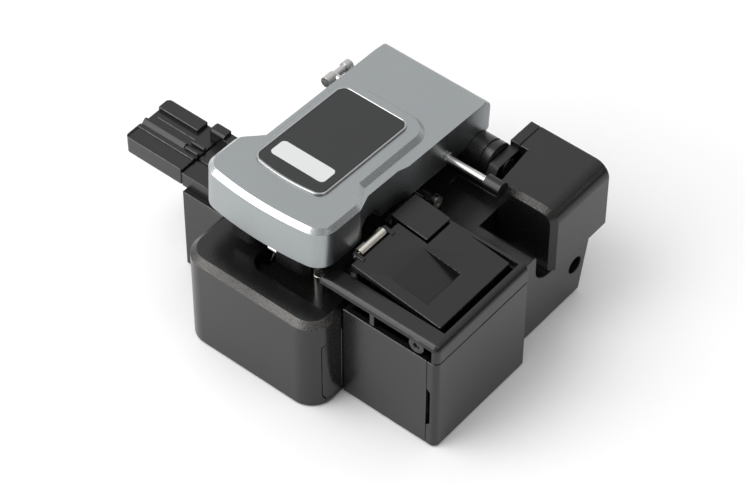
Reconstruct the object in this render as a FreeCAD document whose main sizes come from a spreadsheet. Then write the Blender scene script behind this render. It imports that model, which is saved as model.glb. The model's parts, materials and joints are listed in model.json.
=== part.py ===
import FreeCAD, Part
import math
import os
import Sketcher

# Fibre cleaver: a bench tool that clamps an optical fibre across two pads and draws a blade wheel
# under it, with a scrap box on the right.  Millimetres.  X runs along the fibre, from the fibre
# holder towards the scrap box; Y runs from the front to the hinge; Z is up.  The origin is on the
# underside of the bottom plate, near the middle of the base, and the feet reach a little lower.

doc = FreeCAD.newDocument("FibreCleaver")
sheet = doc.addObject("Spreadsheet::Sheet", "Sizes")


class Size:
    """A length or angle that knows its value and the sheet formula that gives it."""

    def __init__(self, value, text):
        self.value = value
        self.text = text

    def joined(self, sign, other, value, swap=False):
        theirs = other.text if isinstance(other, Size) else repr(float(other))
        pair = (theirs, self.text) if swap else (self.text, theirs)
        return Size(value, "(%s %s %s)" % (pair[0], sign, pair[1]))

    def __add__(self, other):
        return self.joined("+", other, self.value + plain(other))

    def __radd__(self, other):
        return self.joined("+", other, self.value + plain(other), True)

    def __sub__(self, other):
        return self.joined("-", other, self.value - plain(other))

    def __rsub__(self, other):
        return self.joined("-", other, plain(other) - self.value, True)

    def __mul__(self, other):
        return self.joined("*", other, self.value * plain(other))

    def __rmul__(self, other):
        return self.joined("*", other, self.value * plain(other), True)

    def __truediv__(self, other):
        return self.joined("/", other, self.value / plain(other))

    def __neg__(self):
        return self * -1


def plain(size):
    return size.value if isinstance(size, Size) else float(size)


ROW = [0]


def cell(name, value):
    """Write one driving size into the sheet and hand back its Size."""
    ROW[0] += 1
    sheet.set("A%d" % ROW[0], name)
    sheet.set("B%d" % ROW[0], str(value))
    sheet.setAlias("B%d" % ROW[0], name)
    return Size(float(value), "Sizes." + name)


ZERO = Size(0.0, "0")
RIGHT_ANGLE = 90
FULL_TURN = 360
HEX_SIDES = 6
SAME_SPOT = 1e-6
NEAR = 1e-3
FLOOR = ZERO

# ---------------------------------------------------------------- driving sizes: places along X
base_left = cell("base_left", -36.9)
base_length = cell("base_length", 74.8)
arm_width = cell("arm_width", 13.2)
block_left = cell("block_left", -32.2)
housing_length = cell("housing_length", 39.2)
box_length = cell("box_length", 32.9)
box_left = cell("box_left", 9.1)
blade_x = cell("blade_x", -7.5)
holder_length = cell("holder_length", 17.1)
lever_right = cell("lever_right", 9.9)
lever_width = cell("lever_width", 29.9)
# ---------------------------------------------------------------- driving sizes: places along Y
box_front = cell("box_front", -26.0)
box_depth = cell("box_depth", 31.8)
housing_front = cell("housing_front", -35.4)
arm_front = cell("arm_front", -19.6)
arm_rear = cell("arm_rear", 3.2)
base_rear = cell("base_rear", 35.2)
base_slant = cell("base_slant", 3.1)
lever_line = cell("lever_line", -26.8)
fibre_y = cell("fibre_y", -12.7)
# ---------------------------------------------------------------- driving sizes: heights
arm_top = cell("arm_top", 24.0)
deck_top = cell("deck_top", 25.4)
housing_top = cell("housing_top", 26.9)
bin_top = cell("bin_top", 27.4)
box_top = cell("box_top", 32.7)
hinge_z = cell("hinge_z", 30.5)
fibre_z = cell("fibre_z", 28.9)
ledge_top = cell("ledge_top", 15.5)
# ---------------------------------------------------------------- walls, seams and fits
wall = cell("wall", 1.5)
seam = cell("seam", 0.15)
run_fit = cell("run_fit", 0.05)
slide_gap = cell("slide_gap", 0.3)
corner_round = cell("corner_round", 6.0)
top_chamfer = cell("top_chamfer", 1.5)
edge_round = cell("edge_round", 1.6)
# ---------------------------------------------------------------- lever
lever_tilt = cell("lever_tilt", 2.9)
lever_rear = cell("lever_rear", 4.2)
lever_reach = cell("lever_reach", 55.2)
lever_low = cell("lever_low", 2.7)
lever_ledge = cell("lever_ledge", 12.6)
plateau_rise = cell("plateau_rise", 1.2)
plateau_chamfer = cell("plateau_chamfer", 1.15)
plateau_margin = cell("plateau_margin", 3.4)
plateau_round = cell("plateau_round", 6.0)
lever_roof = cell("lever_roof", 2.6)
lever_wall = cell("lever_wall", 2.4)
front_wall = cell("front_wall", 1.2)
head_right = cell("head_right", 10.8)
head_left = cell("head_left", -24.2)
head_depth = cell("head_depth", 12.2)
neck_slope = cell("neck_slope", 4.6)
neck_step = cell("neck_step", 0.8)
neck_straight = cell("neck_straight", 13.1)
front_bow = cell("front_bow", 88.0)
head_round = cell("head_round", 5.0)
neck_round = cell("neck_round", 3.0)
plate_left = cell("plate_left", -17.0)
plate_width = cell("plate_width", 19.8)
plate_front = cell("plate_front", 8.7)
plate_length = cell("plate_length", 30.9)
plate_bow = cell("plate_bow", 45.0)
plate_height = cell("plate_height", 0.5)
plate_sheet = cell("plate_sheet", 0.4)
bezel_width = cell("bezel_width", 0.55)
bezel_round = cell("bezel_round", 0.24)
# ---------------------------------------------------------------- hinge
barrel_radius = cell("barrel_radius", 4.6)
barrel_end = cell("barrel_end", 16.2)
barrel_start = cell("barrel_start", -16.2)
shaft_radius = cell("shaft_radius", 2.0)
bracket_width = cell("bracket_width", 2.6)
rod_radius = cell("rod_radius", 0.95)
rod_reach = cell("rod_reach", 11.3)
rod_rise = cell("rod_rise", 5.2)
rod_out = cell("rod_out", 11.4)
collar_radius = cell("collar_radius", 1.45)
collar_length = cell("collar_length", 0.6)
sleeve_radius = cell("sleeve_radius", 1.9)
sleeve_length = cell("sleeve_length", 4.4)
# ---------------------------------------------------------------- blade
wheel_radius = cell("wheel_radius", 9.5)
wheel_width = cell("wheel_width", 0.9)
wheel_y = cell("wheel_y", -15.0)
carriage_travel = cell("carriage_travel", 24.0)
carriage_width = cell("carriage_width", 13.0)
carriage_depth = cell("carriage_depth", 14.0)
axle_radius = cell("axle_radius", 2.0)
blade_head_radius = cell("blade_head_radius", 3.0)
rail_width = cell("rail_width", 7.0)
rail_height = cell("rail_height", 4.5)
rail_lip = cell("rail_lip", 1.35)
# ---------------------------------------------------------------- clamps
clamp_width = cell("clamp_width", 6.6)
clamp_left_gap = cell("clamp_left_gap", 2.05)
clamp_right_gap = cell("clamp_right_gap", 4.0)
clamp_front = cell("clamp_front", -25.7)
clamp_back = cell("clamp_back", -5.0)
pad_length = cell("pad_length", 7.0)
clamp_half = cell("clamp_half", 5.25)
pad_width = cell("pad_width", 4.6)
pad_height = cell("pad_height", 0.8)
# ---------------------------------------------------------------- scrap box
lid_left = cell("lid_left", 13.0)
lid_right_gap = cell("lid_right_gap", 2.0)
lid_thick = cell("lid_thick", 1.6)
lid_gap = cell("lid_gap", 0.7)
lid_lift = cell("lid_lift", 7.0)
rim_right = cell("rim_right", 2.1)
rim_front = cell("rim_front", 5.0)
rim_rear = cell("rim_rear", 1.0)
notch_width = cell("notch_width", 8.4)
knuckle_radius = cell("knuckle_radius", 2.05)
pin_inset = cell("pin_inset", 6.0)
knuckle_drop = cell("knuckle_drop", 2.7)
pin_radius = cell("pin_radius", 0.75)
pin_over = cell("pin_over", 0.9)
pinch_radius = cell("pinch_radius", 1.2)
pinch_length = cell("pinch_length", 8.4)
roller_front = cell("roller_front", -16.7)
feed_radius = cell("feed_radius", 1.95)
feed_post_half = cell("feed_post_half", 1.365)
face_thick = cell("face_thick", 2.8)
# ---------------------------------------------------------------- rear cover
cover_front = cell("cover_front", 19.9)
cover_depth = cell("cover_depth", 20.3)
cover_top = cell("cover_top", 34.4)
cover_left = cell("cover_left", 21.3)
cover_out = cell("cover_out", 0.7)
cover_chamfer = cell("cover_chamfer", 1.3)
cover_round = cell("cover_round", 4.0)
strip_thick = cell("strip_thick", 1.5)
tool_hole = cell("tool_hole", 2.25)
tool_hole_depth = cell("tool_hole_depth", 8.0)
# ---------------------------------------------------------------- fibre holder and seat
holder_front = cell("holder_front", -18.3)
holder_depth = cell("holder_depth", 15.0)
holder_height = cell("holder_height", 5.0)
block_depth = cell("block_depth", 3.6)
block_rise = cell("block_rise", 0.5)
tongue_width = cell("tongue_width", 8.0)
tongue_height = cell("tongue_height", 2.0)
tongue_length = cell("tongue_length", 13.0)
seat_top = cell("seat_top", 28.0)
seat_length = cell("seat_length", 17.5)
seat_out = cell("seat_out", 1.3)

# ---------------------------------------------------------------- details of the base and housing
rib_depth = cell("rib_depth", 8.8)
rib_round = cell("rib_round", 1.2)
ledge_round = cell("ledge_round", 5.0)
relief_left = cell("relief_left", 9.0)
relief_front = cell("relief_front", 20.1)
relief_depth = cell("relief_depth", 0.5)
channel_half = cell("channel_half", 11.0)
channel_rear = cell("channel_rear", 31.0)
deck_thick = cell("deck_thick", 2.4)
slot_half = cell("slot_half", 0.95)
hole_y = cell("hole_y", 30.0)
hole_z = cell("hole_z", 9.4)
panel_front = cell("panel_front", -32.0)
panel_low = cell("panel_low", 1.4)
panel_high = cell("panel_high", 20.6)
panel_cut = cell("panel_cut", 1.6)
panel_thick = cell("panel_thick", 1.2)
top_thick = cell("top_thick", 2.0)
tray_floor = cell("tray_floor", 24.6)
tray_left = cell("tray_left", -9.3)
tray_front = cell("tray_front", -28.8)
tray_round = cell("tray_round", 4.0)
slot_clear = cell("slot_clear", 0.1)
plate_thick = cell("plate_thick", 1.4)
screw_head = cell("screw_head", 1.7)
screw_small = cell("screw_small", 0.6)
foot_radius = cell("foot_radius", 3.0)
foot_height = cell("foot_height", 0.4)
foot_inset = cell("foot_inset", 5.0)
screw_inset = cell("screw_inset", 4.5)
rail_x = cell("rail_x", 0.5)
rail_front = cell("rail_front", -32.0)
rail_length = cell("rail_length", 60.0)
rail_undercut = cell("rail_undercut", 0.7)
carriage_drop = cell("carriage_drop", 3.6)
carriage_shoulder = cell("carriage_shoulder", 13.0)
carriage_top = cell("carriage_top", 22.0)
carriage_upright = cell("carriage_upright", 5.0)
carriage_front = cell("carriage_front", -22.2)
blade_bevel = cell("blade_bevel", 0.9)
blade_edge = cell("blade_edge", 0.05)
screw_head_height = cell("screw_head_height", 0.6)
# ---------------------------------------------------------------- details of the hinge and lever
bracket_front = cell("bracket_front", 5.0)
lug_half = cell("lug_half", 3.4)
flange_width = cell("flange_width", 1.8)
groove_depth = cell("groove_depth", 0.4)
groove_width = cell("groove_width", 0.7)
neck_run = cell("neck_run", 2.8)
neck_lead = cell("neck_lead", 1.2)
plateau_inset_left = cell("plateau_inset_left", 1.0)
plateau_inset_right = cell("plateau_inset_right", 2.9)
lever_round = cell("lever_round", 2.5)
lever_heel = cell("lever_heel", 1.2)
hollow_back = cell("hollow_back", 8.0)
gate_front = cell("gate_front", 41.6)
gate_back = cell("gate_back", 34.0)
gate_height = cell("gate_height", 3.4)
plate_round = cell("plate_round", 2.6)
rod_inside = cell("rod_inside", 4.0)
post_out = cell("post_out", 2.6)
post_y = cell("post_y", -12.0)
post_z = cell("post_z", 10.7)
post_radius = cell("post_radius", 1.35)
post_length = cell("post_length", 6.0)
knob_start = cell("knob_start", 3.6)
# ---------------------------------------------------------------- details of the clamps and rollers
clamp_right_width = cell("clamp_right_width", 8.3)
clamp_height = cell("clamp_height", 18.0)
clamp_round = cell("clamp_round", 2.4)
clamp_screw_in = cell("clamp_screw_in", 1.2)
clamp_screw_rise = cell("clamp_screw_rise", 1.9)
clamp_screw_out = cell("clamp_screw_out", 3.0)
anvil_half = cell("anvil_half", 1.0)
latch_radius = cell("latch_radius", 1.5)
latch_z = cell("latch_z", 30.0)
latch_length = cell("latch_length", 16.0)
latch_x = cell("latch_x", 6.7)
latch_y = cell("latch_y", -22.8)
tray_wall = cell("tray_wall", 1.1)
tray_drop = cell("tray_drop", 3.0)
box_edge = cell("box_edge", 1.5)
nail_low = cell("nail_low", 6.0)
nail_height = cell("nail_height", 12.5)
nail_width = cell("nail_width", 1.0)
nail_depth = cell("nail_depth", 1.0)
frame_wall = cell("frame_wall", 1.7)
rim_notch = cell("rim_notch", 9.0)
rib_x = cell("rib_x", 23.1)
rib_width = cell("rib_width", 1.2)
notch_x = cell("notch_x", 20.7)
tub_depth = cell("tub_depth", 2.3)
tub_left = cell("tub_left", -14.5)
tub_right = cell("tub_right", -4.2)
tub_rear = cell("tub_rear", -5.8)
ear_radius = cell("ear_radius", 1.6)
ear_width = cell("ear_width", 2.4)
pinch_out = cell("pinch_out", 0.95)
pinch_drop = cell("pinch_drop", 0.4)
pinch_axle = cell("pinch_axle", 0.35)
fork_in = cell("fork_in", 0.6)
# ---------------------------------------------------------------- details of the cover, screw and holder
cover_bend = cell("cover_bend", 22.6)
strip_gap = cell("strip_gap", 2.8)
lug_x = cell("lug_x", 0.5)
lug_width = cell("lug_width", 2.4)
screw_y = cell("screw_y", 11.6)
screw_z = cell("screw_z", 27.7)
screw_radius = cell("screw_radius", 0.95)
button_radius = cell("button_radius", 1.71)
button_height = cell("button_height", 1.52)
socket_start = cell("socket_start", 0.57)
screw_length = cell("screw_length", 10.2)
seat_front = cell("seat_front", -18.2)
seat_depth = cell("seat_depth", 14.9)
groove_half = cell("groove_half", 0.5)
stop_y = cell("stop_y", -6.65)
stop_width = cell("stop_width", 2.75)
stop_left = cell("stop_left", -40.3)
stop_right = cell("stop_right", -35.6)
stop_tail = cell("stop_tail", -31.0)
stop_step = cell("stop_step", 0.9)
stop_low = cell("stop_low", 28.7)
stop_high = cell("stop_high", 32.0)
stop_round = cell("stop_round", 1.0)
trough_drop = cell("trough_drop", 0.5)
ridge_width = cell("ridge_width", 0.7)
ridge_out = cell("ridge_out", 1.0)
ridge_rise = cell("ridge_rise", 0.4)
block_short = cell("block_short", 5.0)
pin_length = cell("pin_length", 4.2)
pin_round = cell("pin_round", 0.5)
bed_drop = cell("bed_drop", 0.4)
holder_round = cell("holder_round", 1.2)
panel_sunk = cell("panel_sunk", 0.3)

# Places that follow from the driving sizes.
base_right = base_left + base_length
box_right = box_left + box_length
knuckle_x = box_right - pin_inset
box_rear = box_front + box_depth
housing_left = base_left + arm_width
housing_right = housing_left + housing_length
bin_left = housing_right + slide_gap
lever_left = lever_right - lever_width
hinge_y = lever_line + lever_reach
head_back = lever_reach - head_depth
neck_front = head_back - neck_slope
neck_start = neck_front - neck_straight
plate_back = lever_reach - plate_front - plate_length
plateau_back = plate_back - plateau_margin
seat_left = base_left - seat_out
holder_right = seat_left - seam
holder_left = holder_right - holder_length
lever_top = lever_ledge + plateau_rise
wheel_z = fibre_z - wheel_radius - seam
rib_rear = box_rear + rib_depth
bracket_right = barrel_end + seam + bracket_width
channel_left = -channel_half
channel_right = -channel_left
channel_top = deck_top - deck_thick
slot_left = blade_x - slot_half
slot_right = blade_x + slot_half
slot_front = wheel_y - wheel_radius - slot_clear
slot_rear = wheel_y + carriage_travel + wheel_radius + wall
panel_inner = housing_right - panel_thick
rail_bottom = FLOOR + plate_thick
tongue_y = holder_front + (holder_depth - tongue_width) / 2
lift_cos = Size(math.cos(math.radians(lid_lift.value)), "cos(%s)" % lid_lift.text)
lift_sin = Size(math.sin(math.radians(lid_lift.value)), "sin(%s)" % lid_lift.text)
pinch_arm = knuckle_x - lid_left + pinch_out
pinch_x = knuckle_x - pinch_arm * lift_cos + (knuckle_drop - pinch_drop) * lift_sin
pinch_z = box_top - knuckle_drop + pinch_arm * lift_sin + (knuckle_drop - pinch_drop) * lift_cos
feed_x = knuckle_x - pinch_arm
feed_z = box_top - pinch_drop - pinch_radius - run_fit - feed_radius
screw_spots = [
    (x, y)
    for x in (channel_left + screw_inset, channel_right - screw_inset)
    for y in (housing_front + corner_round + wall, channel_rear - screw_inset)
]
foot_spots = [
    (block_left + foot_inset, base_rear - base_slant - foot_inset),
    (base_right - foot_inset, base_rear - base_slant - foot_inset),
    (base_left + foot_inset, arm_front + foot_inset),
    (box_right - face_thick - foot_inset, box_front + foot_inset),
]

NODES = []


def bind(thing, path, size):
    """Tie one property of an object to the sheet."""
    if isinstance(size, Size):
        thing.setExpression(path, size.text)
    else:
        raise ValueError("%s of %s has no named size" % (path, thing.Name))


def place(thing, x=ZERO, y=ZERO, z=ZERO, axis=None, angle=None):
    """Bind where an object sits, and how far it is turned about an axis."""
    if axis is not None:
        thing.Placement = FreeCAD.Placement(FreeCAD.Vector(), FreeCAD.Rotation(axis, plain(angle)))
    for path, size in (("x", x), ("y", y), ("z", z)):
        bind(thing, "Placement.Base." + path, size)
    if isinstance(angle, Size):
        bind(thing, "Placement.Rotation.Angle", angle)


def node(name, thing):
    """Give a finished sub-part its own name, which also names its file."""
    thing.Label = name
    NODES.append(thing)
    return thing


def box(name, x, y, z):
    """A block from its low and high places on each axis."""
    block = doc.addObject("Part::Box", name)
    for path, span in (("Length", x), ("Width", y), ("Height", z)):
        bind(block, path, span[1] - span[0])
    place(block, x[0], y[0], z[0])
    return block


TURN = {
    "X": FreeCAD.Rotation(FreeCAD.Vector(0, 1, 0), RIGHT_ANGLE),
    "Y": FreeCAD.Rotation(FreeCAD.Vector(1, 0, 0), -RIGHT_ANGLE),
    "Z": FreeCAD.Rotation(),
}


def rod(name, axis, radius, length, x, y, z):
    """A round bar that starts at a place and runs along +X, +Y or +Z."""
    bar = doc.addObject("Part::Cylinder", name)
    bind(bar, "Radius", radius)
    bind(bar, "Height", length)
    bar.Placement = FreeCAD.Placement(FreeCAD.Vector(), TURN[axis])
    for path, size in (("x", x), ("y", y), ("z", z)):
        bind(bar, "Placement.Base." + path, size)
    return bar


def fuse(name, *shapes):
    joined = doc.addObject("Part::MultiFuse", name)
    joined.Shapes = list(shapes)
    joined.Refine = True
    return joined


def group(name, *shapes):
    """Separate solids of one kind that share a node."""
    together = doc.addObject("Part::Compound", name)
    together.Links = list(shapes)
    return together


def cut(name, whole, *tools):
    """Take one or more shapes away from another."""
    taken = tools[0] if len(tools) == 1 else fuse(name + "Tools", *tools)
    rest = doc.addObject("Part::Cut", name)
    rest.Base = whole
    rest.Tool = taken
    rest.Refine = True
    return rest


def edges_where(shape, test):
    """Numbers of the edges that a test picks, counted from one."""
    return [i + 1 for i, edge in enumerate(shape.Edges) if test(edge)]


def runs_along(edge, axis):
    """Whether an edge is a straight one along an axis."""
    if not isinstance(edge.Curve, Part.Line):
        return False
    direction = edge.Curve.Direction
    return abs(abs(getattr(direction, axis)) - 1) < SAME_SPOT


def through(axis, *corners):
    """A test for straight edges along an axis that pass through any of the given corners."""
    others = [a for a in "xyz" if a != axis]

    def test(edge):
        if not runs_along(edge, axis):
            return False
        middle = edge.CenterOfMass
        spot = [getattr(middle, a) for a in others]
        return any(abs(spot[0] - plain(c[0])) < NEAR and abs(spot[1] - plain(c[1])) < NEAR for c in corners)

    return test


def level(axis, height, inside=None):
    """A test for edges that lie in a plane across an axis."""

    def test(edge):
        spans = edge.BoundBox
        low = getattr(spans, axis.upper() + "Min")
        high = getattr(spans, axis.upper() + "Max")
        flat = abs(low - plain(height)) < NEAR and abs(high - plain(height)) < NEAR
        return flat and (inside is None or inside(edge))

    return test


def rounded(name, thing, size, test, kind="Part::Fillet"):
    """Round or chamfer the picked edges of a Part object."""
    doc.recompute()
    edges = edges_where(thing.Shape, test)
    if not edges:
        raise ValueError("no edge picked on " + thing.Name)
    finished = doc.addObject(kind, name)
    finished.Base = thing
    finished.Edges = [(number, plain(size), plain(size)) for number in edges]
    return finished


class Solid:
    """A PartDesign body with short calls for its sketches and features."""

    PLANES = {"XY": "XY_Plane", "XZ": "XZ_Plane", "YZ": "YZ_Plane"}

    def __init__(self, name):
        self.body = doc.addObject("PartDesign::Body", name + "Body")
        self.name = name
        self.count = 0

    def add(self, kind):
        self.count += 1
        return self.body.newObject(kind, "%s%d" % (self.name, self.count))

    def sketch(self, plane, lift=ZERO):
        sketch = self.add("Sketcher::SketchObject")
        role = Solid.PLANES[plane]
        support = next(p for p in self.body.Origin.OriginFeatures if p.Role == role)
        sketch.AttachmentSupport = [(support, "")]
        sketch.MapMode = "FlatFace"
        bind(sketch, "AttachmentOffset.Base.z", lift)
        return sketch

    def pad(self, sketch, length):
        pad = self.add("PartDesign::Pad")
        pad.Profile = sketch
        bind(pad, "Length", length)
        return self.built(pad)

    def pocket(self, sketch, length, reverse=False):
        before = self.body.Shape.Volume
        pocket = self.add("PartDesign::Pocket")
        pocket.Profile = sketch
        pocket.Reversed = reverse
        bind(pocket, "Length", length)
        self.built(pocket)
        if self.body.Shape.Volume > before - SAME_SPOT:
            raise ValueError("%s cuts nothing" % pocket.Name)
        return pocket

    def built(self, feature):
        doc.recompute()
        if "Invalid" in feature.State or "Touched" in feature.State:
            raise ValueError("%s failed" % feature.Name)
        return feature

    def dress(self, kind, size, test, path):
        base = self.body.Tip
        names = ["Edge%d" % number for number in edges_where(base.Shape, test)]
        if not names:
            raise ValueError("no edge picked on " + self.name)
        feature = self.add(kind)
        feature.Base = (base, names)
        bind(feature, path, size)
        return self.built(feature)

    def fillet(self, size, test):
        return self.dress("PartDesign::Fillet", size, test, "Radius")

    def chamfer(self, size, test):
        return self.dress("PartDesign::Chamfer", size, test, "Size")

    def join(self, other):
        """Fuse another body into this one."""
        boolean = self.add("PartDesign::Boolean")
        boolean.setObjects([other.body])
        boolean.Type = "Fuse"
        return self.built(boolean)


def arc_middle(start, end, radius):
    """Middle of the arc between two points that bulges to the right of the way from one to the other."""
    chord = end - start
    half = chord.Length / 2
    rise = abs(radius) - math.sqrt(radius * radius - half * half)
    side = FreeCAD.Vector(chord.y, -chord.x, 0).normalize()
    return (start + end) * 0.5 + side * rise


def outline(sketch, points):
    """Draw a closed outline.  A third value on a point makes the edge after it an arc of that radius."""
    spots = [FreeCAD.Vector(plain(p[0]), plain(p[1]), 0) for p in points]
    first = sketch.GeometryCount
    count = len(points)
    for i, point in enumerate(points):
        start = spots[i]
        end = spots[(i + 1) % count]
        if len(point) == 3:
            curve = Part.Arc(start, arc_middle(start, end, plain(point[2])), end)
            sketch.addGeometry(curve)
        else:
            sketch.addGeometry(Part.LineSegment(start, end))
    # An arc always runs the short way round anticlockwise, so its first point may be the later corner.
    ends = []
    for i in range(count):
        begins = sketch.getPoint(first + i, 1).distanceToPoint(spots[i]) < SAME_SPOT
        ends.append((1, 2) if begins else (2, 1))
    for i in range(count):
        following = (i + 1) % count
        sketch.addConstraint(
            Sketcher.Constraint("Coincident", first + i, ends[i][1], first + following, ends[following][0]))
    for i, point in enumerate(points):
        for kind, size in (("DistanceX", point[0]), ("DistanceY", point[1])):
            number = sketch.addConstraint(
                Sketcher.Constraint(kind, -1, 1, first + i, ends[i][0], plain(size)))
            bind(sketch, "Constraints[%d]" % number, size)
        if len(point) == 3:
            number = sketch.addConstraint(Sketcher.Constraint("Radius", first + i, plain(point[2])))
            bind(sketch, "Constraints[%d]" % number, point[2])
    return sketch


def circle(sketch, x, y, radius):
    """Draw a circle with its middle and radius bound."""
    ring = sketch.addGeometry(
        Part.Circle(FreeCAD.Vector(plain(x), plain(y), 0), FreeCAD.Vector(0, 0, 1), plain(radius)))
    for kind, size in (("DistanceX", x), ("DistanceY", y)):
        number = sketch.addConstraint(Sketcher.Constraint(kind, -1, 1, ring, 3, plain(size)))
        bind(sketch, "Constraints[%d]" % number, size)
    number = sketch.addConstraint(Sketcher.Constraint("Radius", ring, plain(radius)))
    bind(sketch, "Constraints[%d]" % number, radius)
    return sketch


def rectangle(sketch, x, y):
    return outline(sketch, [(x[0], y[0]), (x[1], y[0]), (x[1], y[1]), (x[0], y[1])])


def ride_lever(thing):
    """Put a piece that is drawn flat about the hinge onto the closed lever."""
    place(thing, ZERO, hinge_y, hinge_z, FreeCAD.Vector(-1, 0, 0), lever_tilt)
    return thing


# ---------------------------------------------------------------- base
def make_base_body():
    """The machined block that carries everything: rear block, left arm, carriage channel and ledge."""
    block_front = box_rear + slide_gap
    solid = Solid("base_body")
    side = outline(solid.sketch("YZ", block_left), [
        (block_front, FLOOR),
        (base_rear - base_slant, FLOOR),
        (base_rear, ledge_top),
        (base_rear, deck_top),
        (block_front, deck_top),
    ])
    solid.pad(side, base_right - block_left)
    arm = outline(solid.sketch("XY", FLOOR), [
        (base_left, arm_front),
        (housing_left - seam, arm_front),
        (housing_left - seam, block_front + wall),
        (block_left, block_front + wall),
        (block_left, arm_rear),
        (base_left, arm_rear),
    ])
    solid.pad(arm, arm_top - FLOOR)
    # The rear cover hooks over a ledge at the right; a rib stays in front of it, behind the scrap box.
    ledge = outline(solid.sketch("XY", deck_top), [
        (cover_bend - slide_gap, rib_rear),
        (base_right + wall, rib_rear),
        (base_right + wall, base_rear + wall),
        (bracket_right, base_rear + wall),
        (bracket_right, base_rear - strip_gap - slide_gap),
        (cover_left - slide_gap, base_rear - strip_gap - slide_gap),
        (cover_bend - slide_gap, cover_front),
    ])
    solid.pocket(ledge, deck_top - ledge_top)
    relief = rectangle(
        solid.sketch("XY", deck_top), (relief_left, cover_left - wall),
        (relief_front, hinge_y - bracket_front - seam))
    solid.pocket(relief, relief_depth)
    channel = rectangle(
        solid.sketch("XZ", -block_front), (channel_left, channel_right), (FLOOR - seam, channel_top))
    solid.pocket(channel, channel_rear - block_front)
    slot = rectangle(
        solid.sketch("XY", deck_top), (slot_left, slot_right), (block_front - wall, slot_rear))
    solid.pocket(slot, deck_top - channel_top + wall)
    hole = circle(solid.sketch("YZ", base_right), hole_y, hole_z, tool_hole)
    solid.pocket(hole, tool_hole_depth)
    solid.fillet(edge_round, through("x", (block_front, deck_top)))
    solid.fillet(rib_round, through("x", (rib_rear, deck_top)))
    solid.fillet(ledge_round, through("x", (rib_rear, ledge_top)))
    return node("base_body", solid.body)


def housing_block(name):
    """The outside of the front housing: a block with two round corners and a chamfered top."""
    solid = Solid(name)
    plan = rectangle(solid.sketch("XY", FLOOR), (housing_left, housing_right), (housing_front, box_rear))
    solid.pad(plan, housing_top - FLOOR)
    solid.fillet(corner_round, through("z", (housing_left, housing_front), (housing_right, housing_front)))

    def not_rear(edge):
        return edge.BoundBox.YMin < plain(box_rear) - NEAR

    solid.chamfer(top_chamfer, level("z", housing_top, not_rear))
    return solid


def panel_outline(solid, gap):
    """Side panel seen from the right, grown by a seam: two cut corners at the front."""
    front = panel_front - gap
    rear = box_front - slide_gap + gap
    low = panel_low - gap
    high = panel_high + gap
    return outline(solid.sketch("YZ", panel_inner), [
        (front, low + panel_cut),
        (front + panel_cut / 2, low),
        (rear, low),
        (rear, high),
        (front + panel_cut * 2, high),
        (front, high - panel_cut),
    ])


def make_front_housing():
    """Chamber that the blade carriage runs in, open below and behind, with a sunk tray in its top."""
    solid = housing_block("front_housing")
    turn = corner_round - wall
    inside = outline(solid.sketch("XY", FLOOR), [
        (housing_left + wall, housing_front + corner_round, turn),
        (housing_left + corner_round, housing_front + wall),
        (housing_right - corner_round, housing_front + wall, turn),
        (housing_right - wall, housing_front + corner_round),
        (housing_right - wall, box_rear + wall),
        (housing_left + wall, box_rear + wall),
    ])
    solid.pocket(inside, housing_top - top_thick - FLOOR, reverse=True)
    tray = rectangle(
        solid.sketch("XY", tray_floor - top_thick), (tray_left - wall, housing_right - wall),
        (tray_front - wall, box_rear))
    solid.pad(tray, housing_top - top_thick - tray_floor + top_thick)
    sunk = rectangle(
        solid.sketch("XY", housing_top), (tray_left, housing_right - wall), (tray_front, box_rear + wall))
    solid.pocket(sunk, housing_top - tray_floor)
    solid.fillet(tray_round, through("z", (tray_left, tray_front)))
    slot = rectangle(
        solid.sketch("XY", housing_top), (slot_left, slot_right), (slot_front, box_rear + wall))
    solid.pocket(slot, housing_top - tray_floor + top_thick + seam)
    opening = panel_outline(solid, seam)
    solid.pocket(opening, box_length, reverse=True)
    return node("front_housing", solid.body)


def make_side_panel():
    """Access panel let into the right wall of the housing, flush with its round corner."""
    block = housing_block("panel_block")
    blank = Solid("panel_blank")
    blank.pad(panel_outline(blank, ZERO), box_length)
    panel = doc.addObject("Part::Common", "side_panel_shape")
    panel.Base = block.body
    panel.Tool = blank.body
    return node("side_panel", panel)


def make_bottom_plate():
    """Plate that closes the carriage channel from below, with four screw holes."""
    solid = Solid("bottom_plate")
    plan = outline(solid.sketch("XY", FLOOR), [
        (housing_left + wall + seam, housing_front + wall + seam + corner_round),
        (housing_left + wall + seam + corner_round, housing_front + wall + seam),
        (housing_right - wall - seam - corner_round, housing_front + wall + seam),
        (housing_right - wall - seam, housing_front + wall + seam + corner_round),
        (housing_right - wall - seam, box_rear),
        (channel_right - seam, box_rear),
        (channel_right - seam, channel_rear - seam),
        (channel_left + seam, channel_rear - seam),
        (channel_left + seam, box_rear),
        (housing_left + wall + seam, box_rear),
    ])
    solid.pad(plan, plate_thick)
    for x, y in screw_spots:
        solid.pocket(circle(solid.sketch("XY", FLOOR), x, y, screw_head + run_fit), plate_thick, reverse=True)
    return node("bottom_plate", solid.body)


def make_bottom_screws():
    heads = [
        rod("bottom_screw", "Z", screw_head, plate_thick - seam, x, y, FLOOR + seam)
        for x, y in screw_spots
    ]
    return node("bottom_screws", group("bottom_screws_shape", *heads))


def make_rubber_feet():
    feet = [rod("foot", "Z", foot_radius, foot_height, x, y, FLOOR - foot_height) for x, y in foot_spots]
    return node("rubber_feet", group("rubber_feet_shape", *feet))


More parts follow.
